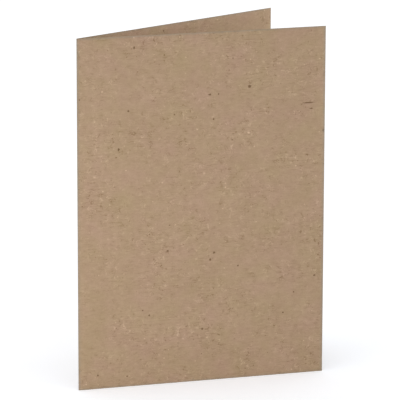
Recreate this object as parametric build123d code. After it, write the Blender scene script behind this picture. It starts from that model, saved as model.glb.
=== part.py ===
from build123d import *
import math
import os

# A folded card: one sheet of plain kraft card, creased once across its middle and folded into
# two equal panels. It stands upright on its bottom edges, a little open.
#
# Millimetres, +Z up. The front panel faces -Y and has the fold at its left, on the -X side. The
# origin is on the surface that the card stands on, at the middle of the rectangle it covers.

# The sheet
panel_width = 127.0  # each panel, from the outermost line of the fold to its free edge
card_height = 177.8  # along the fold
sheet_thickness = 0.35  # card of 250 g to the square metre
opening_angle = 24.8  # degrees between the two panels

# The crease, which a blunt rule presses into the outside of the sheet before it is folded. The
# groove thins the sheet, and the plies that it loosens rise inside the fold as a round bead.
fold_inner_radius = 0.2  # inside of the bend, at the full thickness of the sheet
score_depth = 0.05  # of the pressed groove, on the outside of the fold
score_half_width = 0.6  # bottom of the groove, from the bend's axis along each panel
score_shoulder = 0.4  # length over which the sheet regains its full thickness
bead_reach = 0.5  # where the bead leaves the inside of each panel, from the bend's axis
bead_height = 0.15  # of the bead's crown above its two edges

# Distances from the bend's axis, square to a panel, and the length of a panel from that axis
outer_face = fold_inner_radius + sheet_thickness
fold_outer_radius = outer_face - score_depth
panel_reach = panel_width - fold_outer_radius


def front(along, out):
    """A point of the front panel's section: along the panel from the bend's axis, and outwards."""
    return Vector(along, -out)


def back(along, out):
    """The same point of the back panel, which is the front one turned about the bend's axis."""
    return Vector(along, out).rotate(Axis.Z, opening_angle)


def panel_line(place):
    """One panel's section from the outside of the bend, round the free edge, to the bead."""
    return Polyline(
        place(0, fold_outer_radius),
        place(score_half_width, fold_outer_radius),
        place(score_half_width + score_shoulder, outer_face),
        place(panel_reach, outer_face),
        place(panel_reach, fold_inner_radius),
        place(bead_reach, fold_inner_radius),
    )


def middle_of_fold(distance):
    """A point on the line halfway between the panels, measured from the bend's axis."""
    return Vector(distance, 0).rotate(Axis.Z, opening_angle / 2)


def sheet_section():
    """The sheet's section seen from above, as one closed face."""
    half_opening = math.radians(opening_angle / 2)
    bead_edges = bead_reach * math.cos(half_opening) - fold_inner_radius * math.sin(half_opening)
    with BuildSketch() as section:
        with BuildLine():
            panel_line(front)
            panel_line(back)
            ThreePointArc(
                front(0, fold_outer_radius),
                middle_of_fold(-fold_outer_radius),
                back(0, fold_outer_radius),
            )
            ThreePointArc(
                front(bead_reach, fold_inner_radius),
                middle_of_fold(bead_edges + bead_height),
                back(bead_reach, fold_inner_radius),
            )
        make_face()
    return section.sketch


def folded_card():
    """The whole card, standing, with its footprint centred on the origin."""
    card = extrude(sheet_section(), amount=card_height)
    covered = card.bounding_box().center()
    return Pos(-covered.X, -covered.Y, 0) * card


os.makedirs("parts", exist_ok=True)
export_step(folded_card(), "parts/folded_card.step")
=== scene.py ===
from math import atan2, cos, pi, radians, sin

import bpy
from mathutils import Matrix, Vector, noise


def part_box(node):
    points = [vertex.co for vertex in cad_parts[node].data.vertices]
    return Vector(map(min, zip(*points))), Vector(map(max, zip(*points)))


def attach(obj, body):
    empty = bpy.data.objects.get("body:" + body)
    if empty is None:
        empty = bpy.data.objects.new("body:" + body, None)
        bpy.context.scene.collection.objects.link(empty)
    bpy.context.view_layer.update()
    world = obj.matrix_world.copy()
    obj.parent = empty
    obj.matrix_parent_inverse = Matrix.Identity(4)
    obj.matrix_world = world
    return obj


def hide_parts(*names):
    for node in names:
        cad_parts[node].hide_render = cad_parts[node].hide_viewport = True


# A plain kraft card, folded once and standing a little open on a white table in soft light.
# It is one sheet, so the scene has one piece, and then the table, the light and the camera.
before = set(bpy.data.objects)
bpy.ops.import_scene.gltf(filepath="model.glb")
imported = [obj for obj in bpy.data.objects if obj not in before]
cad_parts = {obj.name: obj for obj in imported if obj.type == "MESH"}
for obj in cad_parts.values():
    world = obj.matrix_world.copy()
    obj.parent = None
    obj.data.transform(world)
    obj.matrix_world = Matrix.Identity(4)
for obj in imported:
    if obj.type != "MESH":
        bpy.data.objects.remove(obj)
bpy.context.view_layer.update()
bpy.ops.object.select_all(action="DESELECT")


# The sheet: kraft card of 250 g to the square metre, cut square by a guillotine and creased
# across its middle by a blunt rule. The groove outside the fold and the bead of loosened plies
# inside it come from the rule. It stands on its lower cut edges, and nothing else holds it.
mm = 0.001
low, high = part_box("folded_card")
panel_width = high[0] - low[0]
card_height = high[2] - low[2]
opening_angle = radians(24.8)
inner_face = 0.2 * mm  # from the bend's axis, square to a panel
outer_face = 0.55 * mm
groove_floor = 0.5 * mm
groove_half_width = 0.6 * mm
groove_shoulder = 0.4 * mm
bead_edges = 0.5 * mm  # along each panel from the bend's axis
bead_crown = 0.595 * mm  # from the bend's axis, halfway between the panels
cut_rounding = 0.04 * mm  # a guillotine leaves the corners of the cut a little soft
cockle = 0.12 * mm  # how far the middle of a panel wanders from flat
cockle_wave = 60 * mm  # roughly the length of one wave of it
bend_steps = 14
cuts_along_panel = 30
cuts_up_panel = 42
near = 0.01 * mm  # points that are closer than this are at one place

bend = Vector((low[0] + groove_floor, low[1] + outer_face, 0))
along_back = Vector((cos(opening_angle), sin(opening_angle), 0))
out_of_back = Vector((-sin(opening_angle), cos(opening_angle), 0))
middle = opening_angle / 2
across = Vector((cos(middle), sin(middle), 0))
beside = Vector((-sin(middle), cos(middle), 0))
panel_reach = panel_width - groove_floor
crease_end = groove_half_width + groove_shoulder

# The section of the sheet is drawn flat on the table, from the front panel's free edge
bpy.ops.mesh.primitive_plane_add(size=1)
sheet = bpy.context.object
sheet.name = "kraft_sheet"
mesh = sheet.data
bpy.ops.object.mode_set(mode="EDIT")
bpy.ops.transform.resize(
    value=(panel_reach - crease_end, outer_face - inner_face, 1), center_override=(0, 0, 0)
)
bpy.ops.transform.translate(
    value=bend + Vector(((panel_reach + crease_end) / 2, -(outer_face + inner_face) / 2, 0))
)


def ends(edge):
    """The places of an edge's two ends."""
    return [mesh.vertices[i].co for i in edge.vertices]


def length(edge):
    """The length of an edge."""
    first, last = ends(edge)
    return (last - first).length


def select(kind, wanted):
    """In edit mode, selects just the vertices or the edges that pass a test."""
    bpy.ops.mesh.select_mode(type=kind)
    bpy.ops.mesh.select_all(action="DESELECT")
    bpy.ops.object.mode_set(mode="OBJECT")
    for item in mesh.vertices if kind == "VERT" else mesh.edges:
        item.select = wanted(item)
    bpy.ops.object.mode_set(mode="EDIT")


def extrude(step):
    """Draws the selected part out by a step."""
    bpy.ops.mesh.extrude_region_move(TRANSFORM_OT_translate={"value": step})


# It goes down into the groove, round the bend and out along the back panel
select("EDGE", lambda e: all(v.x < bend.x + crease_end + near for v in ends(e)))
extrude((-groove_shoulder, 0, 0))
select(
    "VERT",
    lambda v: v.co.x < bend.x + crease_end - near and v.co.y < bend.y - inner_face - near,
)
bpy.ops.transform.translate(value=(0, outer_face - groove_floor, 0))
select("EDGE", lambda e: all(v.x < bend.x + groove_half_width + near for v in ends(e)))
extrude((-groove_half_width, 0, 0))
bpy.ops.mesh.spin(steps=bend_steps, angle=pi - opening_angle, center=bend, axis=(0, 0, 1))
extrude(along_back * groove_half_width)
extrude(along_back * groove_shoulder)
shoulder_top = bend + along_back * crease_end + out_of_back * groove_floor
select("VERT", lambda v: (v.co - shoulder_top).length < near)
bpy.ops.transform.translate(value=out_of_back * (outer_face - groove_floor))
select(
    "EDGE",
    lambda e: all(
        (v - bend).dot(along_back) > crease_end - near and (v - bend).dot(out_of_back) > 0
        for v in ends(e)
    ),
)
extrude(along_back * (panel_reach - crease_end))

# The inside of the bend swells into the bead: its half round is turned over and drawn out
bead_foot = bead_edges * cos(middle) - inner_face * sin(middle)
bead_half = bead_edges * sin(middle) + inner_face * cos(middle)
swell = (bead_crown - bead_foot) / (inner_face * (1 - sin(middle)))
select("VERT", lambda v: (v.co - bend).length < inner_face + near)
bpy.ops.transform.resize(
    value=(-swell, bead_half / (inner_face * cos(middle)), 1),
    orient_matrix=(across, beside, (0, 0, 1)),
    orient_matrix_type="GLOBAL",
    orient_type="GLOBAL",
    center_override=bend,
)
bpy.ops.transform.translate(value=across * (bead_crown - swell * inner_face))

# The panels are cut into strips, the section is drawn up to the card's height, and that is cut
# into rows, so that the panels can wander a little from flat
select("EDGE", lambda e: length(e) > panel_width / 2)
bpy.ops.mesh.subdivide(number_cuts=cuts_along_panel)
bpy.ops.mesh.select_all(action="SELECT")
extrude((0, 0, card_height))
select("EDGE", lambda e: length(e) > card_height / 2)
bpy.ops.mesh.subdivide(number_cuts=cuts_up_panel)
bpy.ops.mesh.select_all(action="SELECT")
bpy.ops.mesh.normals_make_consistent(inside=False)
bpy.ops.object.mode_set(mode="OBJECT")


def is_cut(face):
    """Whether a face is part of the cut rim: the top, the bottom or a panel's free edge."""
    centre = face.center - bend
    panel_end = max(centre.x, centre.dot(along_back))
    return abs(face.normal.z) > cos(radians(25)) or panel_end > panel_reach - near


# The corners of the cut rim are rounded, and not the crossings of the quads within it
cut_faces = {face.index for face in mesh.polygons if is_cut(face)}
faces_at_edge = {}
for face in mesh.polygons:
    for key in face.edge_keys:
        faces_at_edge.setdefault(key, []).append(face.index)


def is_corner(edge):
    """Whether an edge is where the cut rim turns sharply, by over 60 degrees."""
    first, last = faces_at_edge[edge.key]
    alike = mesh.polygons[first].normal.dot(mesh.polygons[last].normal)
    return alike < cos(radians(60)) and (first in cut_faces or last in cut_faces)


bpy.ops.object.mode_set(mode="EDIT")
select("EDGE", is_corner)
bpy.ops.mesh.bevel(offset=cut_rounding, segments=2, affect="EDGES", clamp_overlap=True)
bpy.ops.object.mode_set(mode="OBJECT")

# Card that has stood about isn't quite flat: the middles of the panels wander inwards a little
for vertex in mesh.vertices:
    place = vertex.co - bend
    on_front = place.dot(beside) < 0
    along = place.x if on_front else place.dot(along_back)
    inwards = Vector((0, 1, 0)) if on_front else -out_of_back
    fade = sin(pi * min(max(along / panel_reach, 0), 1)) * sin(pi * place.z / card_height)
    wave = noise.noise(Vector((along, 0 if on_front else 1, place.z)) / cockle_wave)
    vertex.co += inwards * cockle * fade * (0.5 + 0.5 * wave)

# A plan of the sheet in millimetres, laid flat, so that the fibres run on round the fold: the
# outside has the front panel at its right, the inside lies above it, and the rim has its depth.
# The rim, its rounded corners included, is what faces up, down or past a free edge this much.
rim_lean = 0.3
kraft_faces = 0
kraft_rim = 1
bend_length = groove_floor * (pi / 2 - middle)
inside_above = 2 * card_height
rim_above = 4 * card_height
plan = mesh.uv_layers.new(name="sheet_plan")
for face in mesh.polygons:
    centre = face.center - bend
    on_front = centre.dot(beside) < 0
    side = 1 if on_front else -1
    run = Vector((1, 0, 0)) if on_front else along_back
    out = Vector((0, -1, 0)) if on_front else out_of_back
    in_crease = centre.xy.length < crease_end
    outside = face.normal.dot(across) < 0 if in_crease else face.normal.dot(out) > 0
    at_end = centre.dot(run) > panel_reach - 2 * cut_rounding and face.normal.dot(run) > rim_lean
    on_rim = abs(face.normal.z) > rim_lean or at_end
    face.material_index = kraft_rim if on_rim else kraft_faces
    face.use_smooth = not on_rim
    for corner in face.loop_indices:
        place = mesh.vertices[mesh.loops[corner].vertex_index].co - bend
        along = place.dot(run)
        if on_rim:
            spot = (place.z if at_end else along, rim_above + outer_face - place.dot(out))
        elif not outside:
            spot = (side * along, inside_above + place.z)
        elif along < 0:
            turned = atan2(side * -place.dot(beside), -place.dot(across))
            spot = (side * groove_floor * turned, place.z)
        else:
            spot = (side * (bend_length + along), place.z)
        plan.uv[corner].vector = Vector(spot) / mm

# A second plan inside one square, for baking: the outside of the sheet, the inside above it, and
# to the right of them the six lengths of the rim, drawn deeper than they are, to take more pixels
gap = 2 * mm
square = 2 * card_height + 3 * gap
rim_left = 2 * (panel_width + gap)
rim_pitch = 3 * gap
rim_stretch = 8  # times as deep as it is
baking = mesh.uv_layers.new(name="OFBake")
for face in mesh.polygons:
    side = 0 if (face.center - bend).dot(beside) < 0 else 1
    strip = 2 * side + (face.normal.z > 0) if abs(face.normal.z) > rim_lean else 4 + side
    for corner in face.loop_indices:
        along, above = plan.uv[corner].vector * mm
        if face.material_index == kraft_rim:
            depth = rim_stretch * (above - rim_above)
            spot = (rim_left + strip * rim_pitch + depth, gap + along)
        elif above > inside_above - gap:
            spot = (gap + panel_width + along, 2 * gap + card_height + above - inside_above)
        else:
            spot = (gap + panel_width + along, gap + above)
        baking.uv[corner].vector = Vector(spot) / square


def add(nodes, kind, sockets=None, **settings):
    """Adds a shader node. A socket is given a value, or another node's output to read."""
    node = nodes.new(kind)
    for name, value in settings.items():
        setattr(node, name, value)
    for name, value in (sockets or {}).items():
        if isinstance(value, bpy.types.NodeSocket):
            nodes.id_data.links.new(value, node.inputs[name])
        else:
            node.inputs[name].default_value = value
    return node


def linear(code):
    """A colour written as sRGB hex, as the linear values that the shaders work in."""
    parts = (int(code[i : i + 2], 16) / 255 for i in (1, 3, 5))
    return tuple(p / 12.92 if p <= 0.04045 else ((p + 0.055) / 1.055) ** 2.4 for p in parts) + (1,)


# Uncoated kraft card: unbleached long fibres pressed on a paper machine, with nothing coated over
# them. It is quite matt. Most fibres lie along the machine's run, which is across the panels, and
# bark shows in it as dark specks.
kraft = bpy.data.materials.new("uncoated_kraft_card")
kraft.use_nodes = True
nodes = kraft.node_tree.nodes
nodes.clear()

# The plan is in millimetres, so each scale below is in grains or marks per millimetre. Fibres are
# 0.04 mm wide, and are drawn up to 0.3 mm wide, to show.
plan_place = add(nodes, "ShaderNodeUVMap", uv_map="sheet_plan").outputs["UV"]

# Brightness of the stock, from 0 for the deepest to 1 for the palest, in five layers of noise.
# For each: grains per millimetre across the run, the part of that number along it, detail, share
grain_layers = (
    (5.0, 0.35, 1.0, 0.15),
    (1.3, 0.6, 1.0, 0.13),
    (0.7, 0.4, 0.0, 0.09),
    (0.22, 0.6, 1.0, 0.09),
    (0.05, 1.0, 2.0, 0.1),
)
noise_mean = 0.5
tone = 0.5 - noise_mean * sum(share for per_mm, along_run, detail, share in grain_layers)
for per_mm, along_run, detail, share in grain_layers:
    run_place = add(nodes, "ShaderNodeMapping", {"Vector": plan_place, "Scale": (along_run, 1, 1)})
    grain = add(
        nodes,
        "ShaderNodeTexNoise",
        {"Vector": run_place.outputs["Vector"], "Scale": per_mm, "Detail": detail},
        noise_dimensions="2D",
    )
    tone = add(
        nodes,
        "ShaderNodeMath",
        {0: grain.outputs["Fac"], 1: share, 2: tone},
        operation="MULTIPLY_ADD",
    ).outputs[0]

# Some parts of the sheet are smooth, and others are busy with marks
stir = add(
    nodes,
    "ShaderNodeTexNoise",
    {"Vector": plan_place, "Scale": 0.06, "Detail": 2.0},
    noise_dimensions="2D",
)
busy = add(
    nodes,
    "ShaderNodeMapRange",
    {"Value": stir.outputs["Fac"], "From Min": 0.35, "From Max": 0.65, "To Min": 0.35, "To Max": 1.2},
).outputs["Result"]

# Hairs: coarse single fibres along the run, as dashes up to 4 mm long, two kinds of them dark and
# one pale. For each: where its pattern starts, marks per millimetre across the run, and share
hair_along_run = 0.16
for start, per_mm, share in (
    ((3, 5, 0), 1.8, -0.13),
    ((11, 40, 0), 1.2, -0.08),
    ((60, 25, 0), 1.8, 0.09),
):
    run_place = add(
        nodes,
        "ShaderNodeMapping",
        {"Vector": plan_place, "Location": start, "Scale": (hair_along_run, 1, 1)},
    )
    hairs = add(
        nodes,
        "ShaderNodeTexNoise",
        {
            "Vector": run_place.outputs["Vector"],
            "Scale": per_mm,
            "Detail": 0.0,
            "Distortion": 0.25,
        },
        noise_dimensions="2D",
    )
    shown = add(
        nodes,
        "ShaderNodeMapRange",
        {"Value": hairs.outputs["Fac"], "From Min": 0.68, "From Max": 0.82, "To Max": share},
    )
    tone = add(
        nodes,
        "ShaderNodeMath",
        {0: shown.outputs["Result"], 1: busy, 2: tone},
        operation="MULTIPLY_ADD",
    ).outputs[0]

# Curled fibres: thin lines that wander, of which only short stretches come to the surface, one
# kind dark and the other pale. A line is where a slow noise is within a little of its mean.
within = 0.045
for start, share in (((80, 15, 0), -0.21), ((35, 70, 0), 0.2)):
    curl_place = add(nodes, "ShaderNodeMapping", {"Vector": plan_place, "Location": start})
    wander = add(
        nodes,
        "ShaderNodeTexNoise",
        {"Vector": curl_place.outputs["Vector"], "Scale": 0.4, "Detail": 0.0, "Distortion": 1.2},
        noise_dimensions="2D",
    )
    on_line = add(
        nodes,
        "ShaderNodeMath",
        {0: wander.outputs["Fac"], 1: noise_mean, 2: within},
        operation="COMPARE",
    )
    lift = add(
        nodes,
        "ShaderNodeTexNoise",
        {"Vector": curl_place.outputs["Vector"], "Scale": 0.33, "Detail": 0.0},
        noise_dimensions="2D",
    )
    surface = add(
        nodes,
        "ShaderNodeMapRange",
        {"Value": lift.outputs["Fac"], "From Min": 0.54, "From Max": 0.64, "To Max": share},
    )
    curl = add(
        nodes,
        "ShaderNodeMath",
        {0: on_line.outputs[0], 1: surface.outputs["Result"]},
        operation="MULTIPLY",
    )
    tone = add(
        nodes, "ShaderNodeMath", {0: curl.outputs[0], 1: busy, 2: tone}, operation="MULTIPLY_ADD"
    ).outputs[0]

# Specks: a Voronoi pattern puts one in each cell, and in most cells it is too small to show. A
# noise makes their outlines ragged. For bark dust, bark and pale pulp: the width of a cell and the
# largest radius in mm, and the share of cells that stay empty
raggedness = 0.7  # mm, over the whole range of the noise
no_radius = 0.0001  # of a cell's width, and not 0, because the distance is divided by it
ragged = add(
    nodes,
    "ShaderNodeTexNoise",
    {"Vector": plan_place, "Scale": 1.5, "Detail": 1.0},
    noise_dimensions="2D",
)
ragged_place = add(
    nodes,
    "ShaderNodeVectorMath",
    {0: ragged.outputs["Color"], 1: (raggedness, raggedness, 0), 2: plan_place},
    operation="MULTIPLY_ADD",
)
specks = {}
for kind, cell, largest_radius, empty in (
    ("dust", 3.0, 0.38, 0.8),
    ("bark", 12.0, 0.6, 0.85),
    ("pulp", 5.0, 0.42, 0.85),
):
    cells = add(
        nodes,
        "ShaderNodeTexVoronoi",
        {"Vector": ragged_place.outputs["Vector"], "Scale": 1 / cell},
        voronoi_dimensions="2D",
    )
    chance = add(nodes, "ShaderNodeSeparateColor", {"Color": cells.outputs["Color"]})
    radius = add(
        nodes,
        "ShaderNodeMapRange",
        {
            "Value": chance.outputs["Blue"],
            "From Min": empty,
            "To Min": no_radius,
            "To Max": largest_radius / cell,
        },
    )
    reach = add(
        nodes,
        "ShaderNodeMath",
        {0: cells.outputs["Distance"], 1: radius.outputs["Result"]},
        operation="DIVIDE",
    )
    specks[kind] = add(
        nodes,
        "ShaderNodeMapRange",
        {"Value": reach.outputs[0], "From Min": 0.7, "From Max": 1.1, "To Min": 1.0, "To Max": 0.0},
    ).outputs["Result"]

# The largest marks of the front panel, listed one by one: place on the plan, length along the run
# and width, in mm
largest_marks = {
    "bark": (
        (29, 172, 1.1, 1.6),
        (88, 149.5, 1.9, 1.7),
        (67.5, 146.5, 1.8, 0.9),
        (72, 146.5, 1.0, 0.9),
        (118.5, 139.5, 6.4, 0.8),
        (120, 136.5, 2.4, 0.6),
        (69.5, 134, 0.9, 1.1),
        (126.5, 125, 1.2, 1.6),
        (21, 121.5, 1.1, 1.6),
        (46, 68.5, 1.1, 1.1),
        (70, 66, 1.3, 1.1),
        (68, 62.5, 1.0, 1.2),
        (122.5, 50.5, 1.2, 1.0),
        (36.5, 36, 1.1, 1.0),
        (64, 27, 1.3, 1.2),
    ),
    "pulp": ((87.5, 126, 1.4, 1.2),),
}
ragged_shift = noise_mean * raggedness
for kind, marks in largest_marks.items():
    nearest = 9.0  # in radii of a mark, which is clear of them all
    for along, above, long, wide in marks:
        from_middle = add(
            nodes,
            "ShaderNodeMapping",
            {
                "Vector": ragged_place.outputs["Vector"],
                "Location": (along + ragged_shift, above + ragged_shift, 0),
                "Scale": (long / 2, wide / 2, 1),
            },
            vector_type="TEXTURE",
        )
        reach = add(
            nodes, "ShaderNodeVectorMath", {0: from_middle.outputs["Vector"]}, operation="LENGTH"
        )
        nearest = add(
            nodes, "ShaderNodeMath", {0: reach.outputs["Value"], 1: nearest}, operation="MINIMUM"
        ).outputs[0]
    placed = add(
        nodes,
        "ShaderNodeMapRange",
        {"Value": nearest, "From Min": 0.6, "From Max": 1.15, "To Min": 1.0, "To Max": 0.0},
    )
    specks[kind] = add(
        nodes,
        "ShaderNodeMath",
        {0: placed.outputs["Result"], 1: specks[kind]},
        operation="MAXIMUM",
    ).outputs[0]

# Dust and pulp change the brightness, and bark is mixed in with a colour of its own, further on
dust = add(nodes, "ShaderNodeMath", {0: specks["dust"], 1: busy}, operation="MULTIPLY").outputs[0]
for speck, share in ((dust, -0.34), (specks["pulp"], 0.4)):
    tone = add(
        nodes, "ShaderNodeMath", {0: speck, 1: share, 2: tone}, operation="MULTIPLY_ADD"
    ).outputs[0]

# Colour of the stock: one pulp is a little yellower and the other a little redder, and they are
# never quite mixed
patches = add(
    nodes,
    "ShaderNodeTexNoise",
    {"Vector": plan_place, "Scale": 0.07, "Detail": 2.0, "Roughness": 0.6},
    noise_dimensions="2D",
)
yellower, redder = [
    add(
        nodes,
        "ShaderNodeMix",
        {"Factor": tone, "A": linear(deepest), "B": linear(palest)},
        data_type="RGBA",
    ).outputs["Result"]
    for deepest, palest in (("#786137", "#C8B18F"), ("#7E5E45", "#CEAE99"))
]
stock = add(
    nodes,
    "ShaderNodeMix",
    {"Factor": patches.outputs["Fac"], "A": yellower, "B": redder},
    data_type="RGBA",
).outputs["Result"]
bark_cover = add(nodes, "ShaderNodeMath", {0: specks["bark"], 1: 0.85}, operation="MULTIPLY")
stock = add(
    nodes,
    "ShaderNodeMix",
    {"Factor": bark_cover.outputs[0], "A": stock, "B": linear("#674A2D")},
    data_type="RGBA",
).outputs["Result"]

# Painted shade: the card is painted greyer in a band along its edges, and 0.4 mm further in at the
# fold and the free edges, as the dark line of shade along them and in the crease. The distances are
# in mm, and the noise makes them ragged.
further_in = 0.4
ragged_edge_shade = 1.6
spot = add(nodes, "ShaderNodeSeparateXYZ", {"Vector": plan_place}).outputs
from_fold = add(nodes, "ShaderNodeMath", {0: spot["X"]}, operation="ABSOLUTE").outputs[0]
from_end = add(
    nodes,
    "ShaderNodeMath",
    {0: (bend_length + panel_reach) / mm, 1: from_fold},
    operation="SUBTRACT",
).outputs[0]
from_bottom = add(
    nodes, "ShaderNodeMath", {0: spot["Y"], 1: inside_above / mm}, operation="MODULO"
).outputs[0]
from_top = add(
    nodes, "ShaderNodeMath", {0: card_height / mm, 1: from_bottom}, operation="SUBTRACT"
).outputs[0]
fold_or_free_edge = add(nodes, "ShaderNodeMath", {0: from_fold, 1: from_end}, operation="MINIMUM").outputs[0]
from_edge = add(nodes, "ShaderNodeMath", {0: fold_or_free_edge, 1: further_in}, operation="SUBTRACT").outputs[0]
for distance in (from_bottom, from_top):
    from_edge = add(
        nodes, "ShaderNodeMath", {0: from_edge, 1: distance}, operation="MINIMUM"
    ).outputs[0]
from_edge = add(
    nodes,
    "ShaderNodeMath",
    {0: ragged.outputs["Fac"], 1: ragged_edge_shade, 2: from_edge},
    operation="MULTIPLY_ADD",
).outputs[0]
# How much painted shade: up to 0.4 of the grey at the edges, fading to none further in
painted_edge_shade = add(
    nodes,
    "ShaderNodeMapRange",
    {"Value": from_edge, "From Min": 1.1, "From Max": 1.8, "To Min": 0.4, "To Max": 0.0},
)
# The painted shade is mixed into the stock as a grey
stock = add(
    nodes,
    "ShaderNodeMix",
    {"Factor": painted_edge_shade.outputs["Result"], "A": stock, "B": linear("#8A877A")},
    data_type="RGBA",
).outputs["Result"]

# The surface: paler fibres lie higher, and the hollows between them are the more matt
fibre_height = 0.05 * mm
relief = add(
    nodes,
    "ShaderNodeBump",
    {"Strength": 0.6, "Distance": fibre_height, "Height": tone},
)
matt = add(
    nodes,
    "ShaderNodeMapRange",
    {"Value": tone, "From Min": 0.3, "From Max": 0.7, "To Min": 0.94, "To Max": 0.84},
)
shader = add(
    nodes,
    "ShaderNodeBsdfPrincipled",
    {
        "Base Color": stock,
        "Roughness": matt.outputs["Result"],
        "IOR": 1.5,
        "Normal": relief.outputs["Normal"],
    },
)
add(nodes, "ShaderNodeOutputMaterial", {"Surface": shader.outputs["BSDF"]})

# The cut rim: the same board seen end on, where the blade has torn and pressed the fibres, so it
# is a shade greyer than the faces, with the plies as faint lines along it, nine to the millimetre.
rim = bpy.data.materials.new("cut_edge_of_kraft_card")
rim.use_nodes = True
nodes = rim.node_tree.nodes
nodes.clear()
plan_place = add(nodes, "ShaderNodeUVMap", uv_map="sheet_plan").outputs["UV"]
ply_place = add(nodes, "ShaderNodeMapping", {"Vector": plan_place, "Scale": (0.6, 9, 1)})
plies = add(
    nodes,
    "ShaderNodeTexNoise",
    {"Vector": ply_place.outputs["Vector"], "Scale": 1.0, "Detail": 2.0},
    noise_dimensions="2D",
)
torn = add(
    nodes,
    "ShaderNodeMix",
    {"Factor": plies.outputs["Fac"], "A": linear("#83725A"), "B": linear("#B09A7C")},
    data_type="RGBA",
)
shader = add(
    nodes,
    "ShaderNodeBsdfPrincipled",
    {"Base Color": torn.outputs["Result"], "Roughness": 0.95, "IOR": 1.5},
)
add(nodes, "ShaderNodeOutputMaterial", {"Surface": shader.outputs["BSDF"]})

# The slots are in the order of kraft_faces and kraft_rim
mesh.materials.append(kraft)
mesh.materials.append(rim)
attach(sheet, "root")
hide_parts("folded_card")


# The table: a white sheet of matt backdrop paper that runs on out of sight. The camera sees it as
# white where nothing shades it, and the card's soft shadow stays on it. To the camera alone it
# glows faintly blue, as paper with a brightener does, which keeps that shadow from turning brown.
table_width = 12.0  # metres
bpy.ops.object.select_all(action="DESELECT")
bpy.ops.mesh.primitive_plane_add(size=table_width, location=(0, 0, 0))
table = bpy.context.object
table.name = "backdrop"
backdrop = bpy.data.materials.new("white_backdrop_paper")
backdrop.use_nodes = True
nodes = backdrop.node_tree.nodes
nodes.clear()
seen_by = add(nodes, "ShaderNodeLightPath")
paper = add(nodes, "ShaderNodeBsdfDiffuse", {"Color": linear("#FAFAFA")})
shaded = add(nodes, "ShaderNodeBsdfDiffuse", {"Color": linear("#FFFFFF")})
glow = add(nodes, "ShaderNodeEmission", {"Color": linear("#E8F1FF"), "Strength": 0.29})
bright = add(
    nodes, "ShaderNodeAddShader", {0: shaded.outputs["BSDF"], 1: glow.outputs["Emission"]}
)
seen = add(
    nodes,
    "ShaderNodeMixShader",
    {"Fac": seen_by.outputs["Is Camera Ray"], 1: paper.outputs["BSDF"], 2: bright.outputs["Shader"]},
)
add(nodes, "ShaderNodeOutputMaterial", {"Surface": seen.outputs["Shader"]})
table.data.materials.append(backdrop)


# The light: two low soft boxes in front, which keep the card's foot from going dark and make the
# front panel a little brighter by the fold, and one with a honeycomb far to the right, whose
# narrow beam shines in between the panels.

# For each: place, what it is aimed at, width and height, all in metres, spread in degrees, watts
for name, place, aim, wide, tall, spread, watts in (
    ("soft_box_by_the_fold", (-0.27, -0.25, 0.02), (-0.03, -0.03, 0.02), 0.11, 0.03, 180, 0.27),
    ("soft_box_at_the_foot", (0.12, -0.3, 0.015), (0.03, -0.03, 0.015), 0.3, 0.02, 180, 0.042),
    ("soft_box_at_the_right", (1.0, -0.02, 0.2), (0, 0, 0.15), 0.2, 0.1, 18, 0.07),
):
    bpy.ops.object.light_add(type="AREA", location=place)
    soft_box = bpy.context.object
    soft_box.name = name
    soft_box.data.shape = "RECTANGLE"
    soft_box.data.size = wide
    soft_box.data.size_y = tall
    soft_box.data.spread = radians(spread)
    soft_box.data.energy = watts
    soft_box.rotation_euler = (Vector(aim) - soft_box.location).to_track_quat("-Z", "Y").to_euler()
    soft_box.visible_camera = False

# The room: white walls that light the card evenly from all round. The camera and the card's faint
# gloss see them as plain white.
wall_light = 0.835
room = bpy.data.worlds.new("white_room")
room.use_nodes = True
nodes = room.node_tree.nodes
nodes.clear()
seen_by = add(nodes, "ShaderNodeLightPath")
straight = add(
    nodes,
    "ShaderNodeMath",
    {0: seen_by.outputs["Is Camera Ray"], 1: seen_by.outputs["Is Glossy Ray"]},
    operation="MAXIMUM",
)
strength = add(
    nodes,
    "ShaderNodeMapRange",
    {"Value": straight.outputs[0], "To Min": wall_light, "To Max": 1.0},
)
walls = add(
    nodes, "ShaderNodeBackground", {"Color": (1, 1, 1, 1), "Strength": strength.outputs["Result"]}
)
add(nodes, "ShaderNodeOutputWorld", {"Surface": walls.outputs["Background"]})
bpy.context.scene.world = room


# The camera: a long lens, a little above the card and to its left, so the front panel goes away
# to the right and the inside of the back panel shows over it.
round_to_left = radians(16.13)
looking_down = radians(13.82)
leaning = radians(0.15)
away = 1.7061  # metres
aim = Vector((0.0061, -0.0022, 0.0870))
level = Vector((-sin(round_to_left), -cos(round_to_left), 0))
back_to_camera = level * cos(looking_down) + Vector((0, 0, sin(looking_down)))
bpy.ops.object.camera_add(
    location=aim + back_to_camera * away,
    rotation=(pi / 2 - looking_down, 0, -round_to_left),
)
camera = bpy.context.object
camera.rotation_euler.rotate_axis("Z", leaning)
camera.data.lens = 305.2
camera.data.sensor_width = 36
bpy.context.scene.camera = camera
bpy.context.scene.view_settings.view_transform = "Standard"
